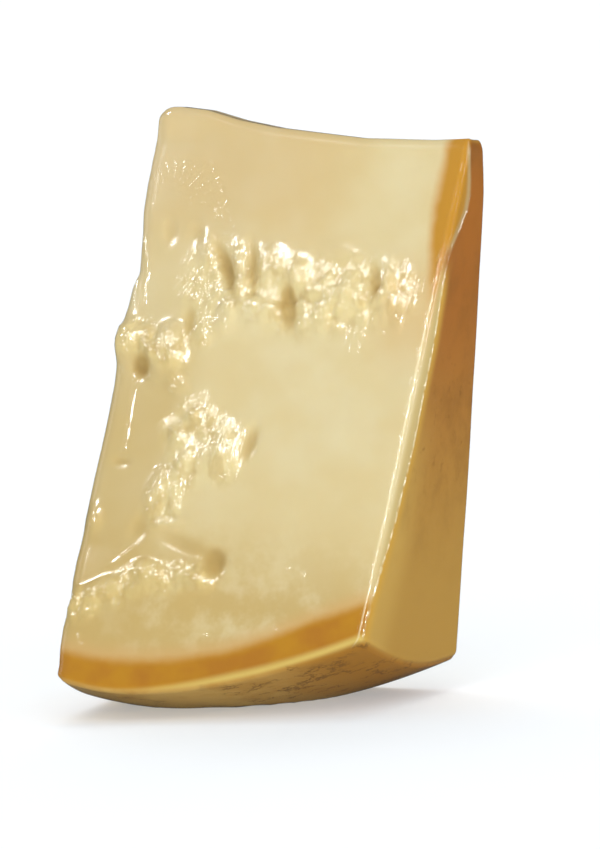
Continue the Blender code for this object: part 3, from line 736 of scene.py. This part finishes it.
class NodeNet:
    """The nodes of one material or of the world, with short ways to add to them."""

    def __init__(self, owner):
        owner.use_nodes = True
        self.nodes = owner.node_tree.nodes
        self.links = owner.node_tree.links

    def feed(self, socket, value):
        """Links an output to a socket, or sets the socket to a plain value."""
        if isinstance(value, bpy.types.NodeSocket):
            self.links.new(value, socket)
        else:
            socket.default_value = value

    def mark(self, key):
        """What the mesh holds under this name at each point."""
        node = self.nodes.new("ShaderNodeAttribute")
        node.attribute_name = key
        return node.outputs["Fac"]

    def ramp(self, value, start, full):
        """0 at the start and 1 where it is full, with a smooth passage."""
        node = self.nodes.new("ShaderNodeMapRange")
        node.interpolation_type = "SMOOTHSTEP"
        node.inputs["From Min"].default_value = start
        node.inputs["From Max"].default_value = full
        self.links.new(value, node.inputs["Value"])
        return node.outputs["Result"]

    def calculate(self, operation, first, second=0.0):
        node = self.nodes.new("ShaderNodeMath")
        node.operation = operation
        self.feed(node.inputs[0], first)
        self.feed(node.inputs[1], second)
        return node.outputs[0]

    def times(self, first, *others):
        """All of them multiplied."""
        product = first
        for other in others:
            product = self.calculate("MULTIPLY", product, other)
        return product

    def plus(self, first, second):
        return self.calculate("ADD", first, second)

    def minus(self, first, second):
        return self.calculate("SUBTRACT", first, second)

    def gap(self, value):
        """How far a value is from 0, either way."""
        return self.calculate("ABSOLUTE", value)

    def mix(self, share, first, second):
        """The first colour, and the second over it as much as the share."""
        node = self.nodes.new("ShaderNodeMix")
        node.data_type = "RGBA"
        self.links.new(share, node.inputs[0])
        for place, value in ((6, first), (7, second)):
            self.feed(node.inputs[place], (*value, 1.0) if isinstance(value, tuple) else value)
        return node.outputs[2]

    def paint(self, colour, tint, *shares):
        """Lays a tint over a colour, as much as all the shares multiplied."""
        return self.mix(self.times(*shares), colour, tint)

    def mix_shaders(self, share, first, second):
        node = self.nodes.new("ShaderNodeMixShader")
        for place, value in enumerate((share, first, second)):
            self.links.new(value, node.inputs[place])
        return node.outputs[0]

    def noise(self, scale, detail=3.0, roughness=0.55, stretch=(1.0, 1.0, 1.0)):
        """Natural unevenness, about 1 / scale of a metre from one blotch to the next."""
        where = self.nodes.new("ShaderNodeTexCoord")
        sized = self.nodes.new("ShaderNodeMapping")
        sized.inputs["Scale"].default_value = stretch
        texture = self.nodes.new("ShaderNodeTexNoise")
        texture.inputs["Scale"].default_value = scale
        texture.inputs["Detail"].default_value = detail
        texture.inputs["Roughness"].default_value = roughness
        self.links.new(where.outputs["Object"], sized.inputs["Vector"])
        self.links.new(sized.outputs["Vector"], texture.inputs["Vector"])
        return texture.outputs["Fac"]

    def bump(self, height, distance, strength):
        node = self.nodes.new("ShaderNodeBump")
        node.inputs["Distance"].default_value = distance
        node.inputs["Strength"].default_value = strength
        self.links.new(height, node.inputs["Height"])
        return node.outputs["Normal"]


def new_material(name):
    material = bpy.data.materials.new(name)
    return material, NodeNet(material)


# The colour functions read the marks in centimetres. A ramp's two numbers are where a tint starts to
# show and where it is full, and the plain number at the end of a paint call is its strength.


def paste_colour(net):
    """Pale yellow paste, deeper near the tip, yellower on crags, and darker with painted shade on the left
    strip and in the hollows.
    """
    along = net.mark("along_axis")
    radius = net.mark("radius")
    rough = net.mark("rough")
    mottled = net.noise(*MOTTLING)
    colour = net.mix(net.ramp(net.noise(26.0), 0.35, 0.70), PASTE, PASTE_PALE)
    colour = net.paint(colour, PASTE_DEEP_AND_SHADE, mottled, 0.22)
    colour = net.paint(colour, PASTE_WARM, net.ramp(radius, 9.5, 5.0), net.ramp(along, 8.0, 4.5), 0.36)
    # Painted shade: the left strip turns away from the light, and its paste is deepened for it
    colour = net.paint(colour, PASTE_DEEP_AND_SHADE, net.ramp(along, 3.2, 1.8), net.ramp(radius, 8.0, 12.0), 0.62)
    uneven = net.plus(net.ramp(mottled, 0.30, 0.60), 0.7)
    colour = net.paint(colour, PASTE_DEEP_AND_SHADE, net.ramp(radius, 15.3, 19.0), uneven, 0.52)
    colour = net.paint(colour, PASTE_YELLOW, rough, 0.35)
    tan = net.ramp(net.noise(170.0, 2.0, 0.5, (1.3, 1.0, 0.7)), 0.48, 0.64)
    colour = net.paint(colour, OCHRE_AND_SHADE, tan, rough, 0.32)
    # Painted shade: the hollows are deepened towards ochre the deeper they are
    return net.paint(colour, OCHRE_AND_SHADE, net.ramp(net.mark("hollow"), 0.0, 2.2), 0.68)


def rim_colour(net, colour):
    """The orange rim under the rind, along the whole wall and beside the flat rind near the tip, with a
    painted highlight line at the wall's edge.
    """
    along = net.mark("along_axis")
    radius = net.mark("radius")
    below_wall = net.mark("below_wall")
    below_flat = net.mark("below_flat")
    wobble = net.times(net.noise(60.0), 0.35)
    deep = net.minus(net.plus(below_wall, wobble), net.times(net.ramp(along, 4.5, 9.5), 0.35))
    beside = net.plus(net.plus(below_flat, wobble), net.times(net.ramp(radius, 5.0, 9.5), 0.60))
    peach = net.times(net.ramp(below_flat, 2.6, 1.0), net.ramp(radius, 6.0, 8.5), net.ramp(radius, 11.5, 9.0))
    colour = net.paint(colour, RIM_PINK, peach, 0.42)
    fading = net.ramp(radius, 9.8, 6.5)
    for tint, wall_reach, flat_reach in (
        (RIM_PINK, (1.90, 1.05), (1.16, 0.84)),
        (RIM_ORANGE, (1.40, 0.92), (0.98, 0.72)),
    ):
        at_wall = net.ramp(deep, *wall_reach)
        at_flat = net.times(net.ramp(beside, *flat_reach), fading)
        colour = net.mix(net.calculate("MAXIMUM", at_wall, at_flat), colour, tint)
    deeper = net.ramp(net.noise(48.0, 3.0, 0.6), 0.34, 0.62)
    colour = net.paint(colour, RIM_DEEP, deeper, net.ramp(deep, 1.2, 0.8), 0.75)
    # Painted highlight: a pale yellow line along the foot of the break next to the wall, where the edge
    # catches the light
    narrow = net.times(net.ramp(along, 6.5, 1.5), 0.26)
    colour = net.mix(net.ramp(net.plus(below_wall, narrow), 0.42, 0.14), colour, RIM_YELLOW_HIGHLIGHT)
    return net.paint(colour, RIM_PINK, net.ramp(beside, 1.1, 0.9), fading, 0.1)


def rind_colour(net):
    """The flat rind: orange brown near the tip, golden brown near the wall, mottled and flecked."""
    radius = net.mark("radius")
    colour = net.mix(net.ramp(radius, 7.0, 18.0), RIND_TOP, RIND_LOW)
    near_edge = net.ramp(net.mark("depth"), 2.6, 0.9)
    colour = net.paint(colour, RIND_GOLD, near_edge, net.ramp(radius, 10.0, 17.0))
    blotches = net.ramp(net.noise(55.0, 5.0, 0.65), 0.42, 0.68)
    colour = net.paint(colour, RIND_DARK, blotches, net.ramp(radius, 19.0, 11.0), 0.36)
    flecks = net.ramp(net.noise(210.0, 4.0, 0.7), 0.58, 0.70)
    middle = net.times(net.ramp(radius, 7.0, 10.0), net.ramp(radius, 15.0, 12.5), 0.45)
    return net.paint(colour, RIND_DARK, flecks, middle)


def painted_inner_highlight(net, colour):
    """A painted highlight: a thin pale line on the front break, just before the rounded edge, where the film
    glints.
    """
    line = net.ramp(net.gap(net.mark("edge_inner")), 0.06, 0.01)
    lower = net.ramp(net.mark("radius"), 7.0, 9.0)
    return net.paint(colour, EDGE_HIGHLIGHT_PAINT, line, lower, net.mark("front"), 0.4)


def chamfer_colour(net, colour):
    """The pale rounded edge between the front break and the flat rind, with a golden border behind it and a
    broken painted highlight along the outer line.
    """
    behind = net.mark("edge_outer")
    radius = net.mark("radius")
    lower = net.ramp(radius, 6.6, 8.2)
    colour = net.paint(colour, CHAMFER_GOLD, net.ramp(behind, 0.60, 0.05), lower)
    colour = net.paint(colour, CHAMFER_PALE, net.ramp(behind, 0.06, -0.10), lower)
    # Painted highlight: a broken pale line along the outer line, where the film glints
    highlight_breaks = net.ramp(net.noise(420.0, 2.0), 0.35, 0.60)
    colour = net.paint(colour, EDGE_HIGHLIGHT_PAINT, net.ramp(net.gap(behind), 0.09, 0.02), highlight_breaks, lower, 0.6)
    upper = net.ramp(radius, 7.0, 6.2)
    colour = net.paint(colour, CHAMFER_GREY, net.ramp(behind, 0.12, -0.10), upper)
    return net.paint(colour, RIM_ORANGE, net.ramp(behind, -0.10, -0.36), upper)


def wall_colour(net):
    """The wheel's side wall: golden brown, deeper towards the flat rind, with dark natural fissures."""
    colour = net.mix(net.ramp(net.mark("along_axis"), 5.5, 9.5), WALL_BROWN, WALL_RIGHT)
    blotches = net.ramp(net.noise(70.0, 4.0, 0.6), 0.40, 0.70)
    colour = net.paint(colour, WALL_RIGHT, blotches, 0.5)
    grain = net.minus(net.noise(60.0, 7.0, 0.75, (0.7, 1.0, 1.0)), 0.5)
    fissures = net.ramp(net.gap(grain), 0.022, 0.006)
    patches = net.ramp(net.noise(45.0, 2.0), 0.46, 0.58)
    return net.paint(colour, WALL_DARK, fissures, patches, 0.8)


def cheese_material():
    material, net = new_material("cheese paste and rind")
    shader = net.nodes["Principled BSDF"]
    colour = rim_colour(net, paste_colour(net))
    rind = chamfer_colour(net, rind_colour(net))
    colour = painted_inner_highlight(net, net.mix(net.mark("flat_side"), colour, rind))
    colour = net.mix(net.mark("wall_side"), colour, wall_colour(net))
    net.links.new(colour, shader.inputs["Base Color"])
    shader.inputs["Roughness"].default_value = 0.6
    shader.inputs["Specular IOR Level"].default_value = 0.15
    shader.inputs["Subsurface Weight"].default_value = 0.12
    shader.inputs["Subsurface Radius"].default_value = (0.006, 0.004, 0.002)
    shader.inputs["Subsurface Scale"].default_value = 1.0
    net.links.new(net.bump(net.noise(*MOTTLING), PASTE_BUMP, 0.3), shader.inputs["Normal"])
    return material


def film_fan(net):
    """A half ring of fine creases that point away from the fan's middle, towards the tip."""
    across = net.calculate("DIVIDE", net.minus(net.mark("along_axis"), FAN_MIDDLE[0]), FAN_SQUEEZE)
    down = net.minus(net.mark("radius"), FAN_MIDDLE[1])
    away = net.calculate("POWER", net.plus(net.times(across, across), net.times(down, down)), 0.5)
    turn = net.times(net.calculate("ARCTAN2", down, across), FAN_ALL_ROUND)
    turn = net.plus(turn, net.times(net.noise(90.0), FAN_BEND))
    spokes = net.ramp(net.calculate("COSINE", turn), 0.45, 1.0)
    ring = net.times(net.ramp(away, *FAN_STARTS), net.ramp(away, *FAN_ENDS))
    upper_half = net.ramp(down, 0.10, -0.15)
    return net.times(spokes, ring, upper_half, FAN_HEIGHT)


def film_streaks(net):
    """Fine wrinkles that run down the film over the crags."""
    down = net.times(net.mark("radius"), 1.9)
    place = net.nodes.new("ShaderNodeCombineXYZ")
    across = net.plus(net.times(net.mark("along_axis"), 9.0), net.times(down, 0.7))
    net.links.new(across, place.inputs[0])
    net.links.new(down, place.inputs[1])
    streaks = net.nodes.new("ShaderNodeTexNoise")
    streaks.inputs["Scale"].default_value = 1.0
    streaks.inputs["Detail"].default_value = 2.0
    streaks.inputs["Roughness"].default_value = 0.5
    streaks.inputs["Distortion"].default_value = 0.6
    net.links.new(place.outputs[0], streaks.inputs["Vector"])
    return net.times(streaks.outputs["Fac"], net.mark("rough"), WRINKLE_SHARE)


def film_creases(net):
    """Single creases, and the two lines of the rounded edge, all broken up into short pieces."""
    ridge = net.ramp(net.gap(net.mark("crease_side")), CREASE_WIDTH, 0.0)
    wobble = net.times(net.noise(160.0, 2.0), 0.30)
    broken = net.ramp(net.noise(420.0, 2.0), 0.40, 0.60)
    total = net.times(ridge, net.mark("crease_share"), net.plus(broken, 0.5))
    for key, strength in EDGE_LINES.items():
        away = net.gap(net.minus(net.plus(net.mark(key), wobble), 0.15))
        line = net.ramp(away, CREASE_WIDTH, 0.0)
        line = net.times(line, net.plus(broken, 0.3), net.mark("not_wall"), strength)
        total = net.plus(total, line)
    return net.times(total, CREASE_HEIGHT)


def film_material():
    """Clear film that only its outer side mirrors in, and only where it is tight."""
    material, net = new_material("clear film")
    net.nodes.remove(net.nodes["Principled BSDF"])
    clear = net.nodes.new("ShaderNodeBsdfTransparent")
    gloss = net.nodes.new("ShaderNodeBsdfGlossy")
    gloss.inputs["Roughness"].default_value = FILM_ROUGHNESS
    fresnel = net.nodes.new("ShaderNodeFresnel")
    fresnel.inputs["IOR"].default_value = FILM_IOR
    side = net.nodes.new("ShaderNodeNewGeometry")
    outside = net.times(net.minus(1.0, side.outputs["Backfacing"]), net.mark("tight"))
    share = net.times(fresnel.outputs["Fac"], outside)
    mixed = net.mix_shaders(share, clear.outputs[0], gloss.outputs[0])
    net.links.new(mixed, net.nodes["Material Output"].inputs["Surface"])
    height = net.plus(film_streaks(net), film_creases(net))
    height = net.plus(height, net.times(film_fan(net), net.mark("front")))
    net.links.new(net.bump(height, FILM_BUMP, 1.0), gloss.inputs["Normal"])
    return material


def dim_for_gloss(net, shader):
    """Lets the studio mirror darker in the film than it lights, as black cards round a set do."""
    path = net.nodes.new("ShaderNodeLightPath")
    share = net.times(path.outputs["Is Glossy Ray"], 1.0 - GLOSSY_SHARE)
    of_world = shader.bl_idname == "ShaderNodeBackground"
    dark = net.nodes.new("ShaderNodeBackground" if of_world else "ShaderNodeEmission")
    dark.inputs["Color"].default_value = BLACK
    return net.mix_shaders(share, shader.outputs[0], dark.outputs[0])


def floor_material():
    material, net = new_material("pale floor")
    shader = net.nodes["Principled BSDF"]
    shader.inputs["Base Color"].default_value = (FLOOR_WHITE, FLOOR_WHITE, FLOOR_WHITE, 1.0)
    shader.inputs["Roughness"].default_value = 0.9
    shader.inputs["Specular IOR Level"].default_value = 0.0
    shader.inputs["Emission Color"].default_value = FLOOR_GLOW_TINT
    shader.inputs["Emission Strength"].default_value = FLOOR_GLOW
    net.links.new(dim_for_gloss(net, shader), net.nodes["Material Output"].inputs["Surface"])
    return material


def make_floor():
    corners = ((-1, -1, 0), (1, -1, 0), (1, 1, 0), (-1, 1, 0))
    points = FLOOR_HALF * np.array(corners, dtype=float)
    floor = new_mesh_object("floor", points, [(0, 1, 2, 3)], {})
    floor.data.materials.append(floor_material())
    return floor


def camera_axes():
    """The camera's right, up and backward directions."""
    azimuth = math.radians(CAMERA_AZIMUTH)
    elevation = math.radians(CAMERA_ELEVATION)
    roll = math.radians(CAMERA_ROLL)
    flat = Vector((math.cos(azimuth), math.sin(azimuth), 0.0))
    back = Vector((
        math.sin(azimuth) * math.cos(elevation),
        -math.cos(azimuth) * math.cos(elevation),
        math.sin(elevation),
    ))
    upright = back.cross(flat)
    right = flat * math.cos(roll) + upright * math.sin(roll)
    up = upright * math.cos(roll) - flat * math.sin(roll)
    return right, up, back


def make_camera(target):
    right, up, back = camera_axes()
    data = bpy.data.cameras.new("camera")
    data.sensor_fit = "VERTICAL"
    data.sensor_height = SENSOR_HEIGHT
    data.lens = PIXELS_PER_METRE * CAMERA_DISTANCE / PHOTO_HEIGHT * SENSOR_HEIGHT
    data.clip_end = 100.0
    camera = bpy.data.objects.new("camera", data)
    turn = Matrix((right, up, back)).transposed().to_4x4()
    camera.matrix_world = Matrix.Translation(target + back * CAMERA_DISTANCE) @ turn
    bpy.context.scene.collection.objects.link(camera)
    bpy.context.scene.camera = camera


def lamp(name, kind, target, towards, distance, energy):
    """A light that looks at the chunk; towards is in the camera's right, up and backward terms."""
    right, up, back = camera_axes()
    direction = (right * towards[0] + up * towards[1] + back * towards[2]).normalized()
    data = bpy.data.lights.new(name, kind)
    data.energy = energy
    light = bpy.data.objects.new(name, data)
    light.location = target + direction * distance
    light.rotation_euler = direction.to_track_quat("Z", "Y").to_euler()
    bpy.context.scene.collection.objects.link(light)
    return light


def new_group(name, members):
    """A collection that a light's linking can name; it isn't part of the scene's own tree."""
    group = bpy.data.collections.new(name)
    for member in members:
        group.objects.link(member)
    return group


def make_lights(target, cheese_piece, film_piece, floor):
    on_both = new_group("chunk light", (cheese_piece, film_piece))
    on_film = new_group("film light", (film_piece,))
    on_floor = new_group("floor light", (floor,))
    for name, (towards, distance, width, height, energy) in (SOFTBOXES | GLINTS).items():
        box = lamp(name, "AREA", target, towards, distance, energy)
        box.data.shape = "RECTANGLE"
        box.data.size = width
        box.data.size_y = height
        box.light_linking.receiver_collection = on_film if name in GLINTS else on_both
        box.visible_diffuse = name not in GLINTS
        box.visible_glossy = name in GLINTS
    for name, (towards, energy, angle) in (SKY_LIGHTS | FLOOR_LIGHTS).items():
        sky = lamp(name, "SUN", target, towards, SUN_DISTANCE, energy)
        sky.data.angle = math.radians(angle)
        sky.light_linking.receiver_collection = on_floor if name in FLOOR_LIGHTS else on_both
        sky.light_linking.blocker_collection = on_both
        sky.visible_glossy = False


def make_world():
    world = bpy.data.worlds.new("studio")
    net = NodeNet(world)
    light = net.nodes["Background"]
    light.inputs["Color"].default_value = WHITE
    light.inputs["Strength"].default_value = WORLD_LIGHT
    net.links.new(dim_for_gloss(net, light), net.nodes["World Output"].inputs["Surface"])
    bpy.context.scene.world = world


def make_stage(target, cheese_piece, film_piece):
    floor = make_floor()
    make_camera(target)
    make_lights(target, cheese_piece, film_piece, floor)
    make_world()
    bpy.context.scene.view_settings.view_transform = "Standard"


cheese, film, moved = make_pieces()
for piece, slot_name in ((cheese, "cheese"), (film, "film")):
    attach(piece, "root")
    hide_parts(NODE)
make_stage(TARGET + moved, cheese, film)
